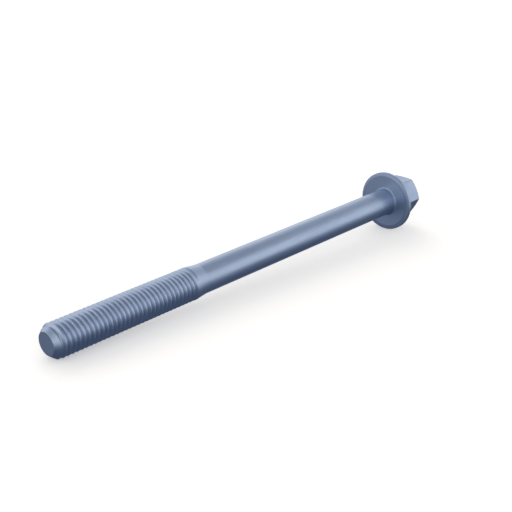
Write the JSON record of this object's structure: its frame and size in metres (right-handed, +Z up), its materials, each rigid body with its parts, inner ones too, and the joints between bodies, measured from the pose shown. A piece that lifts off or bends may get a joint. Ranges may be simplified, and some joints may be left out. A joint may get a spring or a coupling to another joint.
{
  "type": "hex flange bolt",
  "caption": "Long hex flange bolt with a reduced plain shank and a coarse right-hand thread at its end, for clamping thick parts.",
  "frame": {"origin": "centre of the flange's bearing face, on the bolt's axis", "axes": "+X along the bolt towards the end of its thread, leaning down by 2.14 degrees as the bolt lies on its flange and thread end; +Z up, two flats of the hexagon facing up and down"},
  "size_m": [0.1839, 0.0244, 0.0244],
  "materials": {
    "plated_steel": "satin blue-grey plating over forged and rolled steel"
  },
  "bodies": {
    "root": {"hex_flange_bolt": "plated_steel"}
  },
  "joints": []
}
